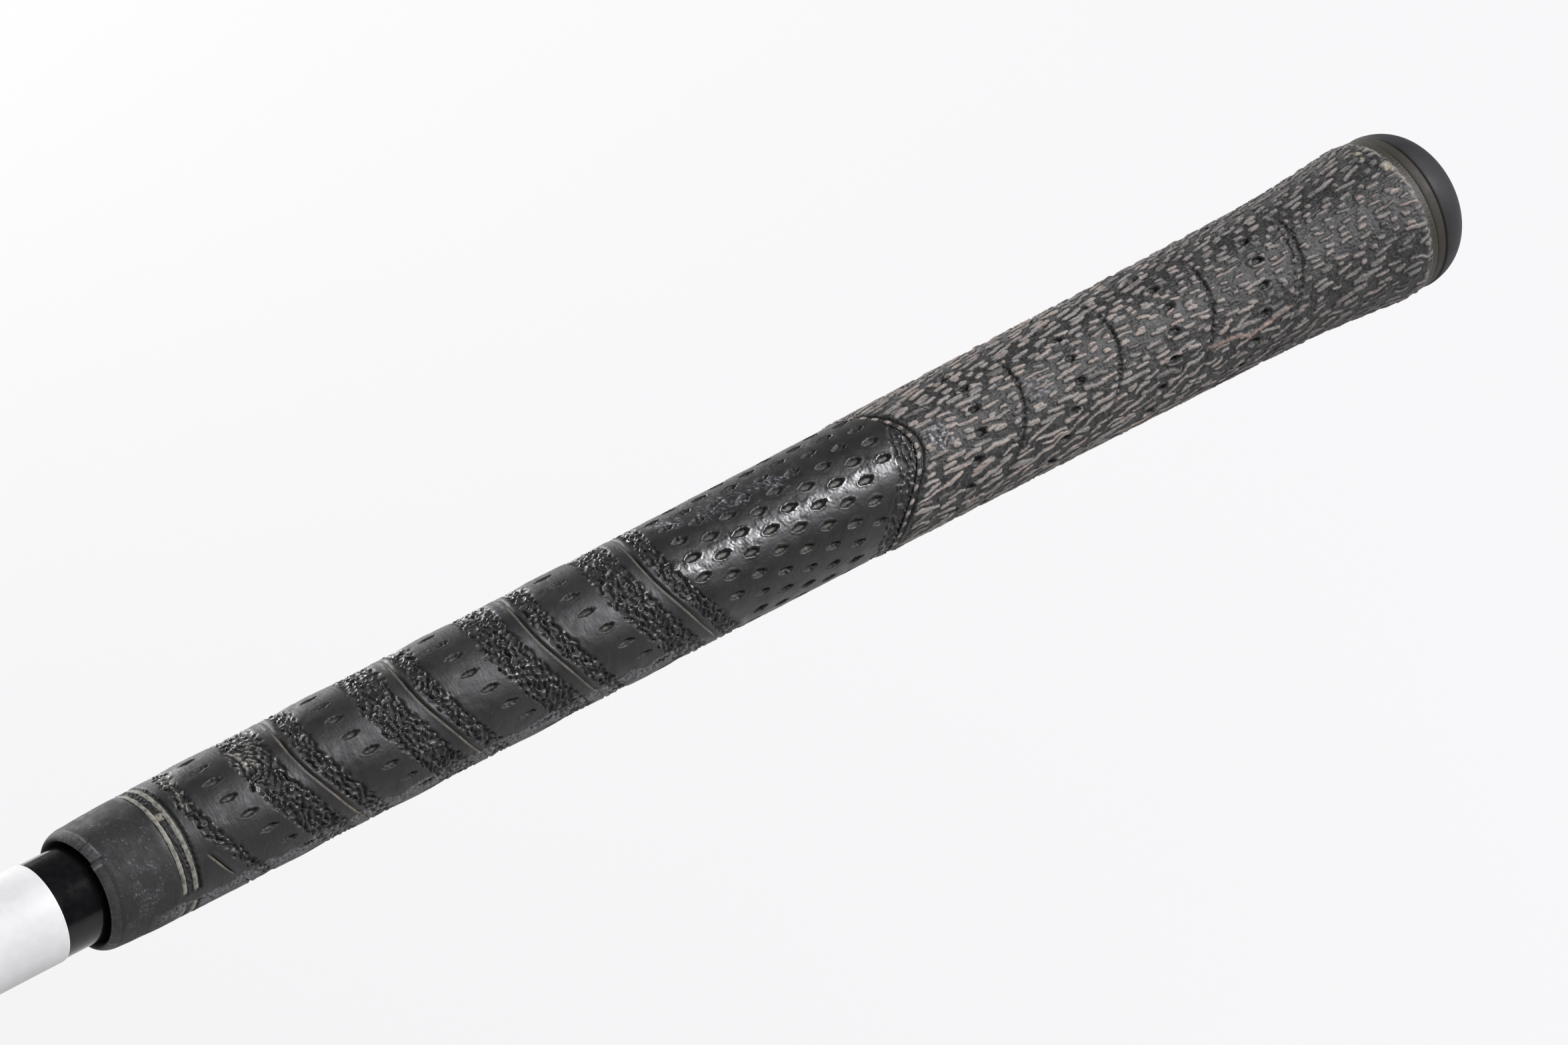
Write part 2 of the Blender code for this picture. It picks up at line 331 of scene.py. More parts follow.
def plain_rows(rows, columns):
    """Rings from (station, radius) pairs, of which each is one number or one for each column."""
    x = np.array([np.broadcast_to(station, columns) for station, _ in rows], float)
    radius = np.array([np.broadcast_to(value, columns) for _, value in rows], float)
    return x, radius


def stack(skin, before, after, name, material):
    """A closed shell: plain rows before the skin, the skin, then plain rows after it."""
    columns = skin.x.shape[1]
    first_x, first_r = plain_rows(before, columns)
    last_x, last_r = plain_rows(after, columns)
    x = np.vstack([first_x, skin.x, last_x])
    radius = np.vstack([first_r, skin.radius + skin.height, last_r])
    # On the plain rows, each mask goes on as it is at the skin's first or last row.
    repeats = np.ones(len(skin.x), int)
    repeats[0] += len(before)
    repeats[-1] += len(after)
    masks = {mask: np.repeat(values, repeats, 0) for mask, values in skin.masks.items()}
    return ring_shell(name, x, radius, masks, material)


# ---- Where the zones of the grip begin and end ----


def lower_line(angle):
    """How far a lower wrap's groove has moved along the grip at this angle."""
    turn = wrap180(angle)
    bow = LOWER_BOW * (1.0 - bell(wrap180(angle + 5.0), BOW_WIDTH))
    return LOWER_PITCH * turn / 360.0 + bow + smooth_line(GROOVE_SHIFT, turn)


def upper_line(angle):
    """How far an upper wrap's groove has moved along the grip at this angle."""
    turn = wrap180(angle)
    return -UPPER_PITCH * turn / 360.0 - UPPER_BOW * (1.0 - bell(wrap180(angle + 8.0), BOW_WIDTH))


def thumb_start(angle):
    """The station where the smooth thumb zone starts."""
    front = wrap180(angle)
    back = np.asarray(angle, float) % 360.0
    round_back = step(back, 85.0, 265.0)
    line = lower_line(np.clip(front, -90.0, 90.0))
    ends = lower_line(90.0) * (1.0 - round_back) + lower_line(-90.0) * round_back
    lean = 1.1 * band(front, 30.0, 100.0, 14.0)
    return 108.0 + lean + np.where(np.abs(front) < 90.0, line, ends)


def cord_edge(angle):
    """The station of the groove where the corded wraps start."""
    off = wrap180(angle + 14.0)
    return 147.5 + 7.7 * bell(off, np.where(off < 0, 64.0, 48.0))


def sleeve_join(angle):
    """The station where the corded sleeve's skin meets the rubber sleeve's."""
    return cord_edge(angle) - 1.3


def thumb_end(angle):
    """The station where the thumb zone's textured rim starts."""
    return cord_edge(angle) - 4.4 * step(wrap180(angle), -52.0, -12.0) - 0.6


# ---- The rubber sleeve ----


# Pale smears on the thumb zone: station, angle, half width, half length round the grip, strength.
SMEARS = (
    (110.9, -58.0, 0.45, 2.2, 1.0), (112.3, -52.0, 0.35, 1.8, 0.9), (113.2, -66.0, 0.5, 1.6, 0.8),
    (116.6, -44.0, 0.3, 2.0, 0.8), (118.0, -40.0, 0.3, 1.6, 0.6), (119.4, -46.0, 0.35, 1.9, 0.7),
    (121.2, -49.0, 0.4, 1.4, 0.6), (122.0, -42.0, 0.3, 2.2, 0.9), (123.4, -38.0, 0.35, 1.7, 0.8),
    (124.6, -47.0, 0.3, 1.5, 0.5), (127.0, -43.0, 0.35, 1.8, 0.6), (129.6, -40.0, 0.4, 2.4, 0.95),
    (131.0, -44.0, 0.3, 2.0, 0.9), (134.2, -41.0, 0.3, 1.0, 0.4), (112.8, -47.0, 0.6, 1.2, 0.5),
)


class RubberSkin(Skin):
    MASKS = ("dust_and_light", "tan", "coral", "paint", "scuff_and_highlight", "gloss", "recess_shade", "smear", "net", "polish")
    ROWS = 860
    COLUMNS = 384

    def __init__(self):
        stations = np.linspace(SKIN_START_X, SPLIT_X, self.ROWS)
        super().__init__(stations, step(stations, RUBBER_LEAN_X, SPLIT_X))
        self.coarse = self.noise(0.75, 1.9, seed=11, stretch=0.8)
        self.worm = self.noise(0.95, 2.5, seed=15, stretch=0.85)
        self.mesh = self.noise(1.8, 4.2, seed=16, stretch=0.85)
        self.fine = self.noise(0.35, 0.9, seed=12)
        self.soft = self.noise(4.0, 14.0, seed=13)
        self.mid = self.noise(1.6, 5.0, seed=14)
        self.wraps()
        self.rings()
        self.parting_lines()
        self.thumb_zone()
        self.smears()
        self.wear()
        self.height[:4] *= np.array([0.0, 0.3, 0.6, 0.9])[:, None]
        self.lip()
        self.x += LIP_DIP * bell(wrap180(self.angle), LIP_DIP_WIDTH) * (1.0 - step(self.x, 1.0, 8.0))

    def coral(self, mask, strength=1.0):
        """Raised worm-like wrinkles, where the mask is, with painted shade in the hollows between them."""
        x, turn = self.x, self.turn
        threads = 0.55 - np.abs(self.mesh + 0.20 * self.fine)
        worms = np.tanh(1.1 * self.worm + 2.0 * threads + 0.30 * self.fine)
        relief = 0.14 + 0.07 * band(turn, -28.0, 60.0, 12.0) + 0.04 * self.mid
        self.height += mask * strength * (relief * worms + 0.03 * self.fine - 0.15)
        self.raise_mask("coral", mask * (0.5 + 0.5 * worms))
        self.raise_mask("recess_shade", 0.50 * mask * step(-worms, 0.0, 0.9))
        dusty = sum(share * band(x, *xs) * band(turn, *turns) for xs, turns, share in DUSTY_BANDS)
        self.masks["net"] += mask * dusty * step(worms + 0.25 * self.coarse, 0.2, 0.9)
        rubbed = 0.10 * step(self.soft, -0.5, 1.5) + 0.16 * band(turn, 24.0, 60.0, 9.0)
        self.masks["tan"] += mask * rubbed * step(worms, 0.1, 0.9)

    def wraps(self):
        """The lower wraps: rough bands, a crowned smooth band, the spiral groove and the rows of slots."""
        x, angle = self.x, self.angle
        turns = (x - LOWER_WRAP_X - lower_line(angle)) / LOWER_PITCH
        whole, part = np.floor(turns), turns - np.floor(turns)
        part = part + 0.008 * self.mid
        end = thumb_start(angle)
        zone = (1.0 - step(x, end - 0.2, end + 0.2)) * step(x, WRAPS_START_X, WRAPS_START_X + 0.8)
        wrapped = zone * (whole >= -1)
        narrow = band(part, *NARROW_BAND, BAND_SOFT) * (whole >= 0)
        narrow = narrow + band(part, *FIRST_NARROW_BAND, BAND_SOFT) * (whole == -1)
        crown = np.clip(1.0 - ((part - CROWN) / CROWN_HALF) ** 2, 0.0, 1.0)
        self.height += wrapped * CROWN_RISE * crown
        self.coral(wrapped * (narrow + band(part, *WIDE_BAND, BAND_SOFT)))
        self.spiral_groove(turns, zone)
        for wrap in range(-1, 4):
            self.wrap_slots(wrap)

    def spiral_groove(self, turns, zone):
        """The groove at each whole turn, deepest on the front, with a raised lip, a rubbed tan edge and
        painted shade in its cut.
        """
        turn = self.turn
        nearest = np.round(turns)
        off = (turns - nearest) * LOWER_PITCH
        first = band(turn, 23.0, 50.0, 4.0) + step(turn, 62.0, 72.0)
        here = zone * np.where(nearest == -1, first, 1.0) * (nearest >= -1)
        deep = here * np.maximum(0.25 + 0.75 * band(turn, -38.0, 6.0, 9.0), nearest == -1)
        cut = bell(off - CUT_OFF, CUT_WIDTH)
        self.height -= (0.14 * here + 0.20 * deep) * cut
        self.raise_mask("recess_shade", 0.6 * deep * cut)
        self.height += here * 0.07 * bell(off - 0.80, 0.30) * step(turn, -75.0, -30.0)
        self.height += here * 0.05 * bell(off + 0.35, 0.30)
        self.masks["tan"] += 1.2 * here * bell(off + 0.10, 0.17) * (0.8 + 0.2 * self.soft)

    def wrap_slots(self, wrap):
        for number in range(WRAP_SLOTS):
            angle = wrap180(SLOT_ANGLE + number * 360.0 / WRAP_SLOTS)
            station = LOWER_WRAP_X + LOWER_PITCH * (wrap + WRAP_SLOT_PART) + lower_line(angle)
            station += float(smooth_line(SLOT_SHIFT, angle))
            if WRAPS_START_X + 6.0 < station < thumb_start(angle) - 3.0:
                self.slot(station, angle, *WRAP_SLOT_HALVES)

    def slot(self, x, angle, long_half, wide_half):
        """One slot pressed into the rubber, with a ragged edge, painted shade inside, and dust with painted
        light on its floor.
        """
        at = self.window(x, angle, long_half * 1.8, 12.0)
        if at is None:
            return
        arc = self.arc(angle, at)
        along = (self.x[at] - x) / long_half
        off = along**2 + np.abs(arc) / wide_half
        off = off + 0.12 * self.coarse[at] + 0.06 * self.fine[at]
        inside = 1.0 - step(off, 0.70, 1.15)
        self.height[at] -= SLOT_DEPTH * inside + 0.05 * bell(off, 1.8)
        self.height[at] += 0.06 * bell(off - 1.45, 0.25)
        self.raise_mask("recess_shade", 1.0 - step(off, 0.85, 1.30), at)
        # Pale dust on the floor of the slots, with painted light: it is laid only on the front, mostly in
        # the slots' lower and nearer parts, where light reaches in.
        low = 0.35 + 0.65 * step(arc, -0.25 * wide_half, 0.25 * wide_half)
        near = 1.0 - 0.8 * step(along, 0.2, 0.8)
        dust_and_light = (1.0 - step(off, 0.40, 0.78)) * near * low * (0.8 + 0.35 * self.coarse[at])
        dust_and_light = dust_and_light * float(band(wrap180(angle), -37.0, 54.0, 8.0))
        self.raise_mask("dust_and_light", np.clip(dust_and_light, 0.0, 1.0), at)

    def rings(self):
        """Two grooves that hold the painted rings, a rough rib between them and a groove after them; the rib
        and that groove carry painted shade.
        """
        x = self.x
        front, rear = RING_XS
        shake = 0.05 * self.coarse + 0.03 * self.fine
        there = 1.0 - band(self.turn, *RING_GAP, 1.2)
        for station in RING_XS:
            groove = band(x + 0.6 * shake - station, -RING_GROOVE_HALF, RING_GROOVE_HALF, 0.08)
            self.height -= there * RING_GROOVE_DEPTH * groove
        rib = band(x, front + 0.45, rear - 0.45, 0.10)
        self.height -= rib * there * (0.16 + 0.08 * self.coarse)
        self.raise_mask("recess_shade", 0.6 * rib * there)
        late = band(x + shake, rear + 0.50, rear + 0.98, 0.12)
        self.height -= 0.30 * late * there
        self.raise_mask("recess_shade", 0.8 * late * there)
        bridge = band(x, front, rear, 0.1) * band(self.turn, *PAINT_BRIDGE, 1.0)
        self.raise_mask("paint", bridge)
        self.height += bridge * 0.10

    def parting_lines(self):
        """The mould's two parting lines, each with a paler strip beside it: scuffs, and painted light
        reflected from below.
        """
        wander = Field(4.0, 14.0, seed=13)(self.x, 0.0)
        for line in PARTING_ANGLES:
            off = self.arc(line + 1.2 * wander)
            along = band(self.x, 9.0, 108.0, 3.0)
            self.height -= along * 0.12 * bell(off, 0.22)
            self.height += along * 0.05 * bell(off - 0.5, 0.3)
            strip = along * band(off, 0.3, 2.8, 0.4)
            # The strip: scuffs, and painted light reflected from below.
            self.masks["scuff_and_highlight"] += (0.95 + 0.4 * self.coarse) * strip
            self.height += strip * 0.07 * self.coarse

    def thumb_zone(self):
        """The smooth glossy zone with its slots and its polished strip, and the rough rim after it."""
        x, angle = self.x, self.angle
        start, end = thumb_start(angle), thumb_end(angle)
        zone = band(x, start, end, 0.25)
        rim = step(x, end - 0.25, end + 0.25)
        self.masks["gloss"] += zone
        self.masks["polish"] += zone * band(self.turn + 1.6 * self.mid, *POLISHED, 3.0)
        self.coral(rim, 0.6)
        self.height += zone * 0.011 * self.fine
        for row in range(THUMB_ROWS):
            place = wrap180(SLOT_ANGLE + row * 360.0 / THUMB_ROWS)
            for number in range(-1, 6):
                station = THUMB_SLOT_XS[row % 2] + THUMB_SLOT_PITCH * number
                if thumb_start(place) + 1.6 < station < thumb_end(place) - 1.2:
                    self.slot(station, place, *THUMB_SLOT_HALVES)

    def smears(self):
        """A soft haze of pale scuffs on the thumb zone, made of many small leaning patches."""
        grit = step(self.fine + 0.8 * self.coarse, -0.8, 1.5)
        for station, place, wide, long_half, strength in SMEARS:
            arc = self.arc(place - 2.5)
            lean = 0.7 * math.sin(5.0 * station)
            slant = self.x - station - lean * arc + 0.25 * self.coarse + 0.45 * self.mid
            across = 1.0 - step(np.abs(arc) + 0.5 * self.mid, 0.1 * long_half, 1.1 * long_half)
            self.masks["smear"] += 0.62 * strength * bell(slant, 2.4 * wide) * across * grit

    def wear(self):
        """The collar's dust and scuffs, a few specks everywhere, and the mould's slight unevenness."""
        x = self.x
        collar = 1.0 - step(x, COLLAR_END_X, COLLAR_END_X + 1.0)
        self.masks["gloss"] -= 1.6 * collar
        specks = step(self.fine, 1.7, 2.6)
        cloud = band(x, 4.5, 9.5, 1.5) * band(self.turn, 0.0, 32.0, 9.0)
        dusty = step(self.soft + 0.4 * self.mid + 1.6 * cloud, 0.5, 2.2)
        grit = step(self.fine + 0.5 * self.coarse, 0.2, 2.0)
        dirt = 0.9 * specks + 0.9 * dusty * (0.12 + grit) + 0.14 * grit
        self.masks["scuff_and_highlight"] += collar * dirt + 0.25 * specks
        self.height += 0.006 * self.mid + 0.012 * self.soft

    def lip(self):
        """The lip, worn back at the top: its face painted lighter, most at the top, a painted highlight
        along its upper edge, and a small cut and a crease with painted shade.
        """
        x, turn = self.x, self.turn
        front = band(turn, -72.0, -20.0, 7.0)
        face = bell(x - SKIN_START_X, 0.10) * (0.22 + 0.30 * front)
        edge = front * bell(x - 1.72, 0.20)
        self.height += 0.06 * edge
        # Painted light on the lip's face and a painted highlight on its upper edge.
        self.masks["scuff_and_highlight"] += face + 1.3 * edge * step(x, 1.5, 1.6)
        notch = (1.0 - step(x, 1.6, 3.0)) * bell(turn - NICK_ANGLE, 1.4)
        self.height -= 0.25 * notch
        self.raise_mask("recess_shade", 0.9 * notch)
        crease = bell(turn - CREASE_ANGLE + 2.0 * (x - 2.0), 1.3) * (1.0 - step(x, 2.4, 3.2))
        self.height -= 0.16 * crease
        self.raise_mask("recess_shade", 0.8 * crease)
        self.x += lip_wear(turn) * (1.0 - step(x, 1.5, 4.0))


def lip_wear(turn):
    """How far the mouth's lip is worn back, up to a small step at the nick."""
    return LIP_WEAR * step(turn, -90.0, -22.0) * (1.0 - step(turn, -19.5, -18.0))


def rubber_sleeve(material):
    """The lower sleeve: its bore, the mouth's lip, the skin, and a nose that the corded sleeve laps."""
    skin = RubberSkin()
    angle = skin.angle[0]
    bore = [(station, BORE_RADIUS) for station in np.linspace(LAP_END_X, 6.0, 12)]
    dip = LIP_DIP * bell(wrap180(angle), LIP_DIP_WIDTH)
    worn = lip_wear(wrap180(angle))
    lip = [(x + dip + worn * step(r, 8.15, 8.3), r) for x, r in list(zip(*rounded(LIP, 30)))[:-1]]
    join = sleeve_join(angle)
    edge = skin.radius[-1] + skin.height[-1]
    end = [(join + 0.04, edge - 0.12), (join + 0.06, edge - 0.35), (join + 0.06, LAP_RADIUS + 0.1)]
    end += [(join + 0.2, LAP_RADIUS), (LAP_END_X - 0.3, LAP_RADIUS), (LAP_END_X, LAP_RADIUS - 0.3)]
    return stack(skin, bore + lip, end, "rubber_sleeve_skin", material)


# ---- The corded sleeve ----


class CordSkin(Skin):
    MASKS = ("cord", "tone", "cord_recess_shade", "painted_sheen", "chip", "brown", "copper")
    ROWS = 520
    COLUMNS = 560

    def __init__(self):
        stations = np.linspace(SPLIT_X, CAP_SEAM_X, self.ROWS)
        super().__init__(stations, 1.0 - step(stations, SPLIT_X, CORD_LEAN_X))
        self.random = np.random.default_rng(31)
        self.coarse = self.noise(0.75, 1.9, seed=21)
        self.fine = self.noise(0.35, 0.9, seed=22)
        self.soft = self.noise(4.0, 16.0, seed=23)
        self.grain = self.noise(0.5, 2.5, seed=24, stretch=0.45)
        self.drift = self.noise(3.0, 9.0, seed=25)
        self.masks["tone"] += 0.5
        self.height += 0.05 * self.soft + 0.05 * self.grain
        self.strands()
        self.beads()
        self.grooves()
        self.worn_patches()
        self.holes()
        self.thread()
        self.butt_edge()

    def lay_cord(self, at, cover, tone):
        """Shows cord where it covers more than what is there, and gives it its tone."""
        better = cover > self.masks["cord"][at]
        self.masks["tone"][at] = np.where(better, tone, self.masks["tone"][at])
        self.raise_mask("cord", cover, at)

    def strand(self, x, angle, long_half, wide_half, tilt, tone, strength):
        """One cord strand lying along the grip, half sunk in the rubber."""
        at = self.window(x, angle, long_half + 1.0, 8.0)
        if at is None:
            return
        along = self.x[at] - x
        flow = 0.07 + 0.10 * float(band(wrap180(angle), 30.0, 130.0, 12.0))
        bend = flow * self.drift[at]
        arc = self.arc(angle, at) - along * math.tan(tilt) - bend
        thin = wide_half * np.maximum(1.0 - 0.55 * (along / (long_half + 0.4)) ** 2, 0.4)
        off = np.hypot(np.maximum(np.abs(along) - long_half + wide_half, 0.0), arc) / thin
        off = off + 0.10 * self.fine[at] + 0.08 * self.coarse[at]
        body = np.sqrt(np.clip(1.0 - off * off, 0.0, 1.0))
        self.height[at] = np.maximum(self.height[at], self.height[at] * 0.5 + STRAND_RISE * body)
        self.lay_cord(at, (1.0 - step(off, 0.55, 1.08)) * strength, tone)

    def strands(self):
        """Rows of strands along the whole sleeve. They thin out and fade towards the butt."""
        random = self.random
        for row in range(STRAND_ROWS):
            home = wrap180(row * 360.0 / STRAND_ROWS)
            x = float(cord_edge(home)) + random.uniform(0.35, 1.1)
            flowing = float(band(home, *FLOWING))
            rising = 9.0 * float(band(home, *RISING))
            while x < CORD_END_X - 0.8:
                shorter = float(step(x, *SHORTER_XS))
                length = random.choice(STRAND_LENGTHS, p=LENGTH_SHARES)
                length *= random.uniform(0.85, 1.15) * (1.0 + 0.5 * flowing)
                length = min(length * (1.0 - 0.28 * shorter), CORD_END_X - 0.3 - x)
                angle = wrap180(home + random.normal(0.0, 1.15))
                if length > 0.7:
                    wide = random.uniform(0.27, 0.48)
                    tilt = math.radians(random.normal(-7.0 * flowing - rising, 4.0 + 3.0 * flowing))
                    strength = random.choice(STRAND_STRENGTHS, p=STRENGTH_SHARES)
                    far = float(step(x + length / 2, *FADING_XS))
                    tone = max(random.uniform(), 0.55 * far)
                    strength *= 1.0 - 0.38 * far
                    self.strand(x + length / 2, angle, length / 2, wide, tilt, tone, strength)
                x += length + random.uniform(0.6, 1.6) * (1.0 + 0.25 * shorter)

    def beads(self):
        """A strip beside the groove between the sleeves, darkened with painted shade, and the row of cord
        ends in it.
        """
        strip = band(self.x, sleeve_join(self.angle), cord_edge(self.angle), 0.15)
        self.masks["cord_recess_shade"] += 0.9 * strip
        random = self.random
        for number in range(BEADS):
            angle = number * 360.0 / BEADS + random.normal(0.0, 1.0)
            x = float(sleeve_join(angle)) + random.uniform(0.45, 0.60)
            self.bead(x, angle, random.uniform(0.40, 0.54), 0.52, random.uniform())

    def bead(self, x, angle, long_half, wide_half, tone):
        """A short end of cord that shows beside the groove between the sleeves."""
        at = self.window(x, angle, 2.0, 6.0)
        if at is None:
            return
        along = self.x[at] - x - (cord_edge(self.angle[at]) - cord_edge(angle))
        off = np.hypot(along / wide_half, self.arc(angle, at) / long_half)
        cover = 1.0 - step(off + 0.12 * self.fine[at], 0.75, 1.1)
        self.height[at] += 0.16 * cover
        self.masks["cord_recess_shade"][at] *= 1.0 - cover
        self.lay_cord(at, cover, 0.3 * tone)

    def grooves(self):
        """The upper spiral groove, doubled near the butt, and the groove between the sleeves, both darkened
        with painted shade.
        """
        x, angle, turn = self.x, self.angle, self.turn
        shift = upper_line(angle) / UPPER_PITCH
        turns = np.interp(x, UPPER_WRAP_XS, np.arange(-2.0, 5.0)) - shift
        nearest = np.round(turns)
        off = (turns - nearest) * UPPER_PITCH
        here = np.where(nearest == -1, 1.0 - step(turn, -150.0, -95.0), 1.0) * (nearest >= -1)
        here = np.where(nearest == 4, step(turn, 80.0, 165.0), here) * (nearest <= 4)
        here = here * step(x, cord_edge(angle) + 1.0, cord_edge(angle) + 2.0)
        wobble = 0.15 * self.coarse
        here = here * (0.35 + 0.65 * band(turn, -38.0, 28.0, 12.0))
        cut = here * bell(off + wobble, 0.46)
        double = (nearest == 3) * here * bell(off + 1.5 + wobble, 0.28) * 0.6
        edge = bell(x - cord_edge(angle), 0.26)
        cut = np.clip(cut + double + edge, 0.0, 1.0)
        self.height -= 0.36 * cut
        self.masks["cord"] *= 1.0 - np.clip(1.3 * cut, 0.0, 1.0)
        self.raise_mask("cord_recess_shade", cut)

    def holes(self):
        """One row of round holes in each upper wrap."""
        for wrap in range(-1, 5):
            for number in range(CORD_HOLES):
                angle = wrap180(CORD_HOLE_ANGLE + number * 360.0 / CORD_HOLES)
                turns = wrap + CORD_HOLE_PART + upper_line(angle) / UPPER_PITCH
                station = np.interp(turns, np.arange(-2, 5), UPPER_WRAP_XS)
                if cord_edge(angle) + 4.0 < station < LAST_CORD_HOLE_X:
                    self.hole(station + self.random.normal(0.0, 0.4), angle, *CORD_HOLE_HALVES)

    def hole(self, x, angle, long_half, wide_half):
        """One round hole with a slightly raised rim, its inside darkened with painted shade."""
        at = self.window(x, angle, 3.0, 12.0)
        if at is None:
            return
        off = np.hypot((self.x[at] - x) / long_half, self.arc(angle, at) / wide_half)
        off = off + 0.12 * self.fine[at]
        inside = 1.0 - step(off, 0.6, 1.15)
        self.height[at] -= CORD_HOLE_DEPTH * inside
        self.height[at] += 0.10 * bell(off - 1.45, 0.25)
        self.masks["cord"][at] *= 1.0 - inside
        self.raise_mask("cord_recess_shade", inside, at)

    def butt_edge(self):
        """The sleeve's end: a pale rubbed line with a few chips, then plain brown rubber up to the cap."""
        x = self.x
        after = step(x, CORD_END_X - 0.1, CORD_END_X + 0.2)
        self.masks["brown"] += after
        self.masks["cord"] *= 1.0 - after
        self.height -= after * (self.height + 0.08)
        pale = bell(x - CORD_END_X + 0.35, 0.60) * (0.60 + 0.40 * self.coarse)
        self.raise_mask("cord", np.clip(0.60 * pale, 0.0, 1.0))
        for station, place, size in CHIPS:
            off = np.hypot(x - station, self.arc(place)) / size
            off = off + 0.15 * self.fine + 0.12 * self.coarse
            self.raise_mask("chip", 1.0 - step(off, 0.4, 1.2))

    def thread(self):
        """One long copper-coloured thread that wanders over the sleeve."""
        x = self.x
        arc = self.arc(np.interp(x, *zip(*THREAD_PATH))) + 0.06 * self.coarse
        line = np.clip(1.3 * bell(arc, 0.28), 0.0, 1.0) * band(x, 210.6, 228.5, 0.8)
        self.height += 0.12 * line
        self.raise_mask("copper", line * (0.85 + 0.15 * self.coarse))
        self.masks["cord"] *= 1.0 - 0.8 * line

    def worn_patches(self):
        """Two patches on the front where the cord has worn off and the rubber curls, smoother, with a
        painted sheen laid on the curls.
        """
        x = self.x
        patches = band(x, 156.4, 160.6, 0.7) + 0.45 * band(x, 176.5, 181.0, 0.8)
        patches = np.clip(patches * band(self.turn, -17.0, 4.0, 4.0), 0.0, 1.0)
        curls = step(self.coarse + 0.3 * self.fine, 0.1, 0.9)
        self.masks["cord"] *= 1.0 - 0.8 * patches
        self.masks["painted_sheen"] += patches * curls
        self.height += 0.10 * patches * curls


def cord_sleeve(material):
    """The upper sleeve: the cap's seat, the bore and the lap inside, the skin, and its end at the cap."""
    skin = CordSkin()
    angle = skin.angle[0]
    join = sleeve_join(angle)
    first = skin.radius[0] + skin.height[0]
    inner = [(258.2, 11.5), (258.0, CAP_SEAT_RADIUS + 0.1), (CAP_SEAT_X - 0.3, CAP_SEAT_RADIUS + 0.1)]
    inner += [(CAP_SEAT_X - 0.3, CAP_CUP_RADIUS), (CAP_SEAT_X - 1.0, BORE_RADIUS)]
    inner += [(station, BORE_RADIUS) for station in np.linspace(240.0, LAP_END_X + 0.4, 6)]
    inner += [(LAP_END_X + 0.3, LAP_RADIUS + 0.05), (join + 0.35, LAP_RADIUS + 0.05)]
    inner += [(join + 0.12, LAP_RADIUS + 0.15), (join + 0.1, first - 0.35), (join + 0.06, first - 0.12)]
    last = skin.radius[-1] + skin.height[-1]
    end = [(CAP_SEAM_X + 0.05, last - 0.15), (CAP_SEAM_X + 0.03, 12.0)]
    return stack(skin, inner, end, "cord_sleeve_skin", material)


# ---- The plain turned pieces ----

TURNED_COLUMNS = 192
RING_COLUMNS = 240
SHAFT_START_X = -30.0
SHAFT_RADIUS = 7.5
SHAFT_BORE_RADIUS = 6.25
BAND_XS = (-24.0, -6.1)


def turned(name, outline, material, masks=None):
    """A closed turned shell. Its outline goes towards +X on the outside, then back inside."""
    x, radius = plain_rows(outline, TURNED_COLUMNS)
    full = {mask: np.repeat(values[:, None], TURNED_COLUMNS, 1) for mask, values in (masks or {}).items()}
    return ring_shell(name, x, radius, full, material)


def cap_dome():
    """The cap's rounded face, a superellipse that starts behind the seam's band."""
    for along in np.linspace(0.0, 1.0, 44) ** 0.9:
        rise = 2.0 + 8.05 * along
        radius = CAP_EDGE_RADIUS * (1.0 - (rise / 10.5) ** 2.5) ** 0.4
        yield CAP_SEAM_X + 0.35 + rise + 0.2 * (1.0 - along), radius


def butt_cap(material):
    """The moulded cap: a seat, a sunk band at its seam, a domed face, a vent and a cup inside."""
    edge = CAP_EDGE_RADIUS
    outline = [(CAP_SEAT_X, 9.4), (CAP_SEAT_X, 10.6), (CAP_SEAT_X + 0.4, CAP_SEAT_RADIUS)]
    outline += [(258.2, CAP_SEAT_RADIUS), (258.5, 11.3), (258.66, 12.3), (258.72, edge - 0.30)]
    outline += [(258.9, edge - 0.22), (259.4, edge - 0.20), (260.0, edge - 0.22), (260.45, edge - 0.26)]
    outline += [(260.62, edge - 0.30), (260.74, edge - 0.16), (260.86, edge - 0.06)]
    outline += cap_dome()
    outline += [(269.17, 6.0), (269.2, 5.6), (269.2, 4.2), (269.08, 3.9), (269.05, 1.9), (268.9, 1.5)]
    outline += [(268.0, VENT_RADIUS), (262.0, VENT_RADIUS), (261.0, 2.0), (260.6, 4.0), (260.4, 7.0)]
    outline += [(259.0, 8.6), (252.0, CAP_CUP_RADIUS)]
    station, radius = np.array(outline).T
    brown = band(station, CAP_SEAM_X, CAP_SEAM_X + 2.1, 0.15) * (radius > 12.2)
    return turned("butt_cap_shell", outline, material, {"brown": brown})


def shaft_tube(material):
    """The black shaft, hollow, from its cut face to its end inside the grip."""
    outside_r, inside_r = SHAFT_RADIUS, SHAFT_BORE_RADIUS
    outline = [(SHAFT_START_X, inside_r + 0.1), (SHAFT_START_X, outside_r - 0.15)]
    outline += [(SHAFT_START_X + 0.15, outside_r)]
    outline += [(x, outside_r) for x in np.linspace(SHAFT_START_X + 1.0, 8.0, 20)]
    outline += [(60.0, outside_r + 0.02), (250.0, outside_r + 0.1), (258.5, outside_r + 0.1)]
    outline += [(258.6, outside_r), (258.6, inside_r + 0.15), (258.0, inside_r + 0.05)]
    outline += [(100.0, inside_r), (SHAFT_START_X + 0.2, inside_r - 0.05)]
    return turned("shaft_tube_shell", outline, material)


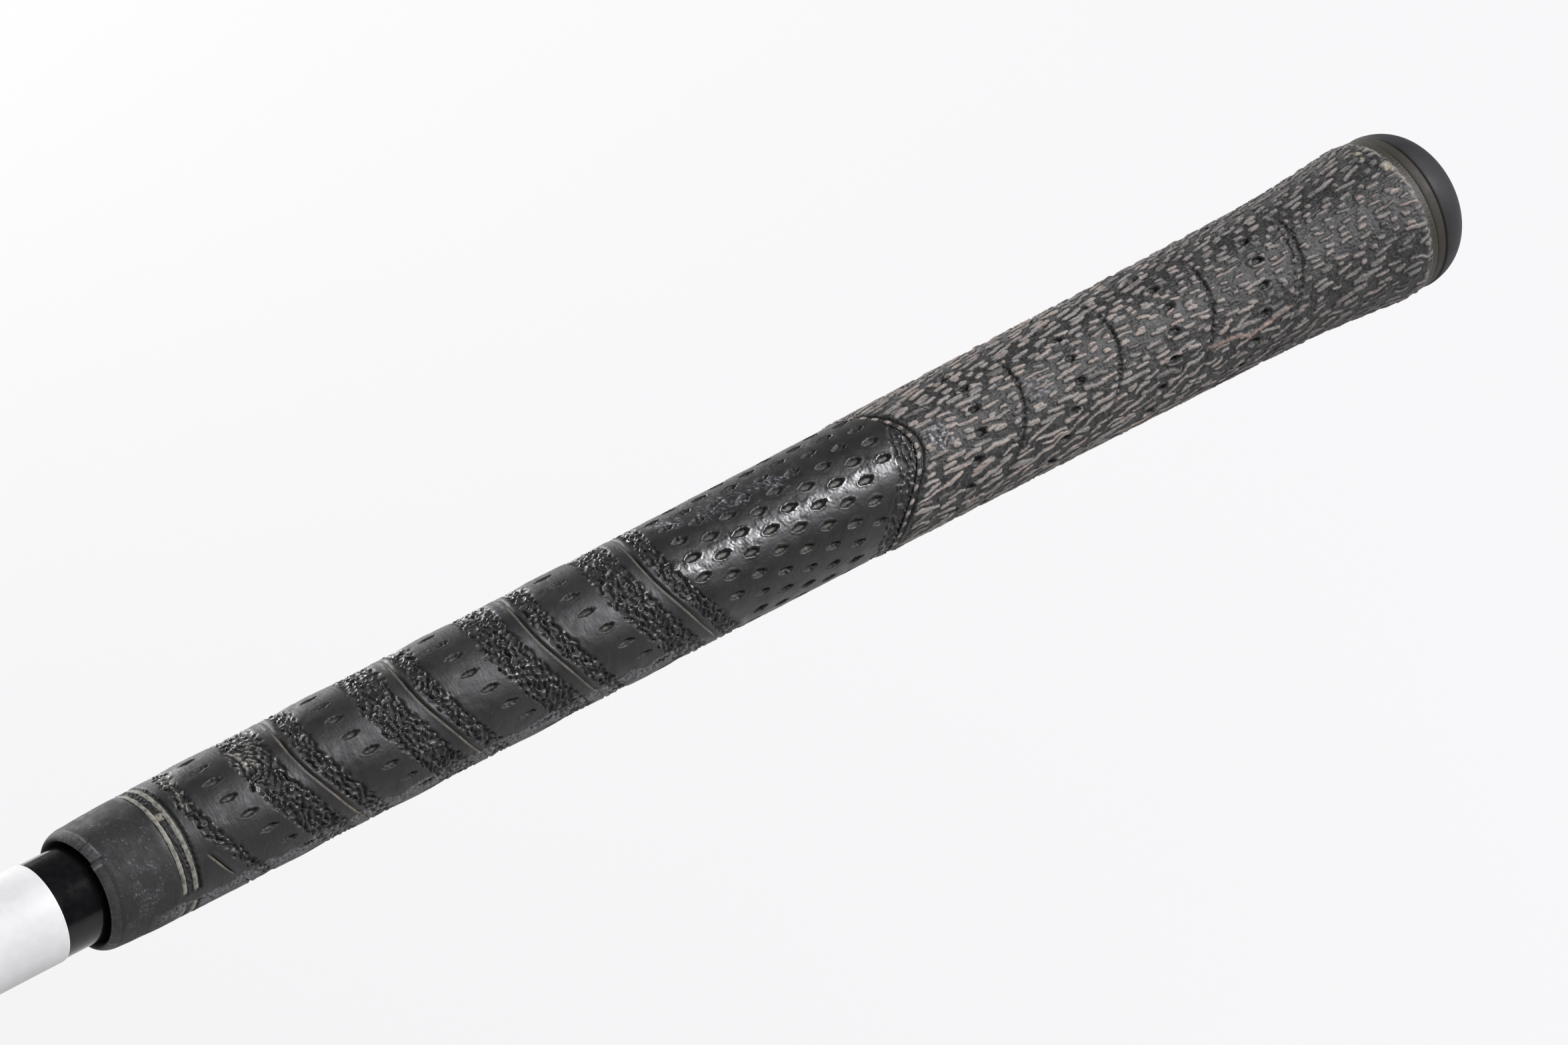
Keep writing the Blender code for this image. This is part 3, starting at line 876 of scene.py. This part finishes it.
def shaft_band(material):
    """The white band, a thin ring with rounded ends round the shaft."""
    start, end = BAND_XS
    top = SHAFT_RADIUS + 0.2
    outline = [(start, top - 0.16), (start, top - 0.04), (start + 0.1, top)]
    outline += [(x, top) for x in (-18.0, -12.0, end - 0.2)]
    outline += [(end - 0.05, top - 0.04), (end, top - 0.16)]
    return turned("shaft_band_shell", outline, material)


def ring_inlay(name, station, material):
    """A painted ring in its groove. It dips under the rubber where the mould's parting line breaks it."""
    angle = around(RING_COLUMNS)
    shake = Field(1.2, 4.0, seed=41 + int(station))(station, angle)
    gone = band(wrap180(angle), *RING_GAP, 2.0)
    surface = float(outside(np.array(station)))
    half = (0.41 + 0.03 * shake) * (1.0 - 0.7 * gone)
    top = surface - 0.05 - 0.02 * shake - 0.45 * gone
    floor = surface - 0.75
    rows = [(-half, floor), (-half, top - 0.06), (-0.75 * half, top), (0.0, top + 0.01)]
    rows += [(0.75 * half, top), (half, top - 0.06), (half, floor)]
    x, radius = plain_rows([(station + shift, value) for shift, value in rows], RING_COLUMNS)
    return ring_shell(name, x, radius, {}, material)


# ---- Materials ----

# Linear colours. Where there are two, the material's noise mixes them.
RUBBER = ((0.0120, 0.0120, 0.0125), (0.0185, 0.0185, 0.0190))
# Pale scuffs; also painted light on the lip and beside the parting lines.
SCUFF_AND_HIGHLIGHT = (0.12, 0.12, 0.125)
SMEAR = (0.44, 0.44, 0.48)
# Painted shade for the slots, grooves, ring rib, lip cut, crease and the hollows between wrinkles.
RECESS_SHADE = (0.008, 0.008, 0.008)
PALE_NET = (0.25, 0.24, 0.205)
TAN = (0.135, 0.118, 0.092)
# Pale dust on slot floors, laid where light reaches in: dust and painted light.
DUST_AND_LIGHT = (0.16, 0.148, 0.122)
PAINT = (0.20, 0.195, 0.162)
CORD_RUBBER = ((0.018, 0.018, 0.0185), (0.037, 0.0365, 0.036))
CORD_RUBBER_PIT = (0.009, 0.009, 0.009)
# Pale specks in the cord rubber's grain: painted glints.
CORD_RUBBER_GLINT = (0.085, 0.083, 0.080)
CORD = ((0.335, 0.285, 0.25), (0.225, 0.22, 0.21))
PINK_CORD = (0.33, 0.265, 0.235)
CORD_SHADE = (0.12, 0.11, 0.10)
# Painted shade in the cord sleeve's grooves and holes.
CORD_RECESS_SHADE = (0.009, 0.009, 0.0085)
# A painted sheen on the worn patches.
PAINTED_SHEEN = (0.26, 0.26, 0.28)
COPPER = (0.25, 0.185, 0.155)
BROWN = (0.034, 0.030, 0.022)
CHIP = (0.30, 0.265, 0.19)
CAP = ((0.014, 0.014, 0.015), (0.020, 0.020, 0.0215))
CAP_GRAIN = (0.06, 0.06, 0.06)
LACQUER = ((0.003, 0.003, 0.0035), (0.006, 0.006, 0.007))
WHITE = ((0.64, 0.64, 0.64), (0.68, 0.68, 0.68))
TAPE = ((0.55, 0.50, 0.40), (0.66, 0.61, 0.50))
RING_PAINT = ((0.075, 0.073, 0.060), (0.235, 0.230, 0.196))
FLOOR = ((0.638, 0.635, 0.633), (0.658, 0.655, 0.653))


class Paint:
    """One Principled material and the few kinds of node that it is built from."""

    def __init__(self, name, specular):
        self.material = bpy.data.materials.new(name)
        self.material.use_nodes = True
        self.tree = self.material.node_tree
        self.shader = self.tree.nodes["Principled BSDF"]
        self.shader.inputs["Specular IOR Level"].default_value = specular
        self.place = self.tree.nodes.new("ShaderNodeTexCoord").outputs["Object"]

    def plug(self, socket, value):
        """Links another node's output to the socket, or sets the socket to a plain value."""
        if isinstance(value, bpy.types.NodeSocket):
            self.tree.links.new(value, socket)
        else:
            socket.default_value = value

    def noise(self, per_mm, detail=3.0, stretch=(1.0, 1.0, 1.0)):
        """Noise with this many features in each millimetre; stretch slows it along X, Y or Z."""
        scaled = self.tree.nodes.new("ShaderNodeMapping")
        scaled.inputs["Scale"].default_value = [per_mm / MM / part for part in stretch]
        self.plug(scaled.inputs["Vector"], self.place)
        node = self.tree.nodes.new("ShaderNodeTexNoise")
        node.inputs["Scale"].default_value = 1.0
        node.inputs["Detail"].default_value = detail
        self.plug(node.inputs["Vector"], scaled.outputs["Vector"])
        return node.outputs["Fac"]

    def mask(self, name):
        """One of the masks that a skin's mesh carries."""
        node = self.tree.nodes.new("ShaderNodeAttribute")
        node.attribute_name = name
        return node.outputs["Fac"]

    def math(self, operation, a, b):
        node = self.tree.nodes.new("ShaderNodeMath")
        node.operation = operation
        self.plug(node.inputs[0], a)
        self.plug(node.inputs[1], b)
        return node.outputs[0]

    def span(self, value, low, high, start=0.0, end=1.0):
        """The value from low to high, turned into start to end and held there."""
        node = self.tree.nodes.new("ShaderNodeMapRange")
        for index, setting in enumerate((value, low, high, start, end)):
            self.plug(node.inputs[index], setting)
        return node.outputs[0]

    def mix(self, factor, a, b):
        """From colour a at factor 0 to colour b at factor 1."""
        node = self.tree.nodes.new("ShaderNodeMix")
        node.data_type = "RGBA"
        self.plug(node.inputs["Factor"], factor)
        self.plug(node.inputs[6], (*a, 1.0) if isinstance(a, tuple) else a)
        self.plug(node.inputs[7], (*b, 1.0) if isinstance(b, tuple) else b)
        return node.outputs[2]

    def worn(self, colour, name, grain, layer):
        """The colour with another laid over it where a mask is, broken up by the grain."""
        cover = self.math("MULTIPLY", self.mask(name), grain)
        return self.mix(self.span(cover, 0.0, 1.0), colour, layer)

    def finish(self, colour, roughness, bumps):
        """Links the colour and roughness, and stacks (height, depth in mm) bumps."""
        self.plug(self.shader.inputs["Base Color"], colour)
        self.plug(self.shader.inputs["Roughness"], roughness)
        normal = None
        for height, depth in bumps:
            node = self.tree.nodes.new("ShaderNodeBump")
            node.inputs["Strength"].default_value = 1.0
            node.inputs["Distance"].default_value = depth * MM
            self.plug(node.inputs["Height"], height)
            if normal is not None:
                self.plug(node.inputs["Normal"], normal)
            normal = node.outputs["Normal"]
        self.plug(self.shader.inputs["Normal"], normal)
        return self.material


def rubber_colour(paint, grain):
    """Black rubber under scuffs and painted highlights, smears, painted shade in pits and grooves, pale
    threads, tan edges, dust with painted light, and ring paint.
    """
    colour = paint.mix(paint.span(paint.noise(0.12, 4.0), 0.35, 0.70), *RUBBER)
    # Scuffs, and painted light on the lip and beside the parting lines.
    colour = paint.worn(colour, "scuff_and_highlight", paint.span(grain, 0.35, 0.65, 0.4, 1.2), SCUFF_AND_HIGHLIGHT)
    colour = paint.worn(colour, "smear", paint.span(grain, 0.38, 0.60, 0.2, 1.1), SMEAR)
    # Painted shade in the pits and grooves.
    colour = paint.mix(paint.mask("recess_shade"), colour, RECESS_SHADE)
    colour = paint.worn(colour, "net", paint.span(grain, 0.35, 0.60, 0.5, 1.1), PALE_NET)
    colour = paint.worn(colour, "tan", paint.span(grain, 0.35, 0.60, 0.5, 1.1), TAN)
    # Dust with painted light on the slot floors.
    colour = paint.worn(colour, "dust_and_light", paint.span(grain, 0.40, 0.60, 0.55, 1.1), DUST_AND_LIGHT)
    return paint.mix(paint.mask("paint"), colour, PAINT)


def rubber_roughness(paint, brushed):
    """Half matt, smoother where it is glossy, wrinkled or polished, and dry on dust, paint and pits."""
    rough = paint.span(paint.noise(0.5, 4.0), 0.3, 0.7, 0.46, 0.63)
    streaks = paint.span(brushed, 0.35, 0.65, 0.11, 0.215)
    for name, less in (("gloss", 0.10), ("coral", 0.22), ("polish", streaks)):
        rough = paint.math("SUBTRACT", rough, paint.math("MULTIPLY", paint.mask(name), less))
    dry = paint.math("MULTIPLY", paint.mask("recess_shade"), 0.8)
    for name in ("dust_and_light", "tan", "paint"):
        dry = paint.math("MAXIMUM", dry, paint.mask(name))
    return paint.math("ADD", rough, paint.math("MULTIPLY", dry, 0.35))


def rubber_material():
    paint = Paint("worn_rubber", specular=0.41)
    grain = paint.noise(2.2, 5.0)
    brushed = paint.noise(2.2, 4.0, (1.0, 4.0, 4.0))
    relief = paint.span(paint.mask("gloss"), 0.0, 1.0, 1.0, 0.24)
    bumps = [(paint.math("MULTIPLY", grain, relief), 0.04), (paint.math("MULTIPLY", brushed, relief), 0.05)]
    return paint.finish(rubber_colour(paint, grain), rubber_roughness(paint, brushed), bumps)


def cord_colour(paint, threads):
    """Cord in two tones, pinker in places, with darker lines along its threads."""
    cord = paint.mix(paint.mask("tone"), *CORD)
    cord = paint.mix(paint.span(paint.noise(0.25, 3.0), 0.50, 0.65), cord, PINK_CORD)
    return paint.mix(paint.span(threads, 0.30, 0.60), CORD_SHADE, cord)


def corded_material():
    paint = Paint("corded_rubber", specular=0.4)
    grain = paint.noise(2.4, 4.0)
    threads = paint.noise(3.0, 3.0, (5.0, 1.0, 1.0))
    rubber = paint.mix(paint.span(paint.noise(0.15, 4.0), 0.35, 0.65), *CORD_RUBBER)
    rubber = paint.mix(paint.span(paint.noise(0.9, 3.0), 0.42, 0.60), CORD_RUBBER_PIT, rubber)
    # Painted glints on the grain.
    rubber = paint.mix(paint.span(grain, 0.50, 0.72, 0.0, 0.7), rubber, CORD_RUBBER_GLINT)
    cover = paint.math("MULTIPLY", paint.mask("cord"), paint.span(grain, 0.30, 0.50, 0.7, 1.2))
    colour = paint.mix(paint.span(cover, 0.10, 0.85), rubber, cord_colour(paint, threads))
    # Painted shade in the grooves and holes.
    colour = paint.mix(paint.mask("cord_recess_shade"), colour, CORD_RECESS_SHADE)
    # Painted sheen on the worn patches.
    colour = paint.mix(paint.math("MULTIPLY", paint.mask("painted_sheen"), 0.75), colour, PAINTED_SHEEN)
    for name, layer in (("copper", COPPER), ("brown", BROWN), ("chip", CHIP)):
        colour = paint.mix(paint.mask(name), colour, layer)
    roughness = paint.math("SUBTRACT", 0.58, paint.math("MULTIPLY", paint.mask("painted_sheen"), 0.26))
    return paint.finish(colour, roughness, [(grain, 0.08), (threads, 0.10)])


def cap_material():
    paint = Paint("cap_rubber", specular=0.32)
    grain = paint.noise(2.5, 5.0)
    colour = paint.mix(paint.span(paint.noise(0.1, 4.0), 0.35, 0.65), *CAP)
    colour = paint.mix(paint.span(grain, 0.60, 0.75, 0.0, 0.3), colour, CAP_GRAIN)
    brown = paint.math("MULTIPLY", paint.mask("brown"), paint.span(grain, 0.3, 0.6, 0.7, 1.0))
    colour = paint.mix(brown, colour, BROWN)
    roughness = paint.span(paint.noise(0.4, 4.0), 0.3, 0.7, 0.62, 0.74)
    return paint.finish(colour, roughness, [(grain, 0.03)])


def lacquer_material():
    paint = Paint("black_lacquer", specular=0.32)
    grain = paint.noise(0.8, 5.0)
    colour = paint.mix(paint.span(grain, 0.40, 0.70), *LACQUER)
    roughness = paint.span(grain, 0.3, 0.7, 0.12, 0.17)
    return paint.finish(colour, roughness, [(paint.noise(0.3, 3.0), 0.003)])


def plain_material(name, specular, noise, edges, colours, roughness, depth):
    """Two colours and a slight bump from one noise, which also sets the roughness."""
    paint = Paint(name, specular)
    grain = paint.noise(*noise)
    colour = paint.mix(paint.span(grain, *edges), *colours)
    return paint.finish(colour, paint.span(grain, 0.3, 0.7, *roughness), [(grain, depth)])


def white_material():
    return plain_material("white_band", 0.35, (0.6, 4.0), (0.35, 0.65), WHITE, (0.46, 0.56), 0.006)


def tape_material():
    noise = (1.6, 4.0, (1.0, 1.0, 3.0))
    return plain_material("grip_tape", 0.3, noise, (0.35, 0.65), TAPE, (0.72, 0.86), 0.05)


def ring_material():
    return plain_material("ring_paint", 0.5, (1.2, 5.0), (0.35, 0.60), RING_PAINT, (0.55, 0.75), 0.04)


def floor_material():
    paint = Paint("studio_floor", specular=0.1)
    soft = paint.noise(0.002, 2.0)
    colour = paint.mix(soft, *FLOOR)
    return paint.finish(colour, paint.span(soft, 0.0, 1.0, 0.88, 0.92), [(soft, 0.01)])


# ---- Building the pieces ----


def dress(piece, nodes):
    """Puts a new piece on the one body, in place of its CAD node."""
    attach(piece, "root")
    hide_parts(*nodes)


def build_grip():
    rings = ring_material()
    dress(rubber_sleeve(rubber_material()), ["rubber_sleeve"])
    dress(cord_sleeve(corded_material()), ["cord_sleeve"])
    dress(butt_cap(cap_material()), ["butt_cap"])
    dress(shaft_tube(lacquer_material()), ["shaft_tube"])
    dress(shaft_band(white_material()), ["shaft_band"])
    dress(ring_inlay("ring_inlay_front_fill", RING_XS[0], rings), ["ring_inlay_front"])
    dress(ring_inlay("ring_inlay_rear_fill", RING_XS[1], rings), ["ring_inlay_rear"])
    tape = tape_material()
    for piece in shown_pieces():
        if piece.name.startswith("grip_tape"):
            for slot in piece.material_slots:
                slot.material = tape


# ---- Floor, light and camera ----

# In metres from here on.
VIEW_AZIMUTH = math.radians(-39.9)
VIEW_ELEVATION = math.radians(38.3)
VIEW_DISTANCE = 1.1209
VIEW_LENS = 168.4
SENSOR_WIDTH = 36.0
VIEW_TARGET = Vector((0.1334, 0.0, 0.0))
# In the view the grip rises to the right at this slope, and the view's centre lies this far above its axis.
VIEW_SLOPE = math.radians(27.4)
OFF_AXIS = 0.00065

GRIP_MIDDLE = Vector((0.125, 0.0, 0.0))
WORLD_COLOUR = (0.98, 0.985, 1.0, 1.0)
WORLD_LIGHT = 0.13
WORLD_SEEN = 0.92

FLOOR_Z = -0.6
FLOOR_HALF = 4.0


def view_back():
    """The direction from the target to the camera."""
    level = math.cos(VIEW_ELEVATION)
    across = math.sin(VIEW_AZIMUTH) * level
    away = -math.cos(VIEW_AZIMUTH) * level
    return Vector((across, away, math.sin(VIEW_ELEVATION)))


def make_camera():
    data = bpy.data.cameras.new("camera")
    data.lens = VIEW_LENS
    data.sensor_width = SENSOR_WIDTH
    data.clip_start = 0.05
    data.clip_end = 40.0
    camera = bpy.data.objects.new("camera", data)
    back = view_back()
    right = Vector((math.cos(VIEW_AZIMUTH), math.sin(VIEW_AZIMUTH), 0.0))
    up = back.cross(right)
    target = VIEW_TARGET + OFF_AXIS * (math.cos(VIEW_SLOPE) * up - math.sin(VIEW_SLOPE) * right)
    camera.location = target + VIEW_DISTANCE * back
    camera.rotation_euler = (-back).to_track_quat("-Z", "Y").to_euler()
    bpy.context.scene.collection.objects.link(camera)
    bpy.context.scene.camera = camera


def round_direction(angle):
    """The direction away from the axis at this angle round it."""
    turn = math.radians(FACE_ANGLE + angle)
    return Vector((0.0, -math.sin(turn), math.cos(turn)))


def area_light(name, direction, distance, size, power, colour=(1.0, 1.0, 1.0)):
    """A rectangular lamp that faces the grip's middle from this direction and distance."""
    data = bpy.data.lights.new(name, "AREA")
    data.shape = "RECTANGLE"
    data.size, data.size_y = size
    data.energy = power
    data.color = colour
    lamp = bpy.data.objects.new(name, data)
    direction = direction.normalized()
    lamp.location = GRIP_MIDDLE + distance * direction
    lamp.rotation_euler = (-direction).to_track_quat("-Z", "Y").to_euler()
    bpy.context.scene.collection.objects.link(lamp)


def make_floor():
    mesh = bpy.data.meshes.new("floor")
    turns = ((-1, -1), (1, -1), (1, 1), (-1, 1))
    corners = [(FLOOR_HALF * x, FLOOR_HALF * y, FLOOR_Z) for x, y in turns]
    mesh.from_pydata(corners, [], [(0, 1, 2, 3)])
    mesh.materials.append(floor_material())
    floor = bpy.data.objects.new("floor", mesh)
    bpy.context.scene.collection.objects.link(floor)


def make_world():
    """A dim even light all round that the camera itself sees as a bright white studio."""
    world = bpy.data.worlds.new("studio")
    world.use_nodes = True
    background = world.node_tree.nodes["Background"]
    background.inputs["Color"].default_value = WORLD_COLOUR
    seen = world.node_tree.nodes.new("ShaderNodeLightPath").outputs["Is Camera Ray"]
    strength = world.node_tree.nodes.new("ShaderNodeMapRange")
    strength.inputs["To Min"].default_value = WORLD_LIGHT
    strength.inputs["To Max"].default_value = WORLD_SEEN
    world.node_tree.links.new(seen, strength.inputs["Value"])
    world.node_tree.links.new(strength.outputs["Result"], background.inputs["Strength"])
    bpy.context.scene.world = world


def light_scene():
    """A soft key from the butt side, a wide lamp behind for the upper edge, a small one at the mouth."""
    key = Vector((0.66, 0.0, 0.0)) + 0.751 * round_direction(-13.0)
    area_light("key", key, 2.8, (0.75, 0.75), 120.0, (0.98, 0.97, 1.0))
    rim = Vector((0.10, 0.0, 0.0)) + round_direction(-128.0)
    area_light("rim", rim, 2.6, (1.1, 0.9), 66.0)
    mouth = Vector((-1.0, -0.12, 0.12))
    area_light("mouth", mouth, 0.65, (0.2, 0.2), 1.6)


bpy.context.scene.view_settings.view_transform = "Standard"
build_grip()
make_world()
make_floor()
light_scene()
make_camera()
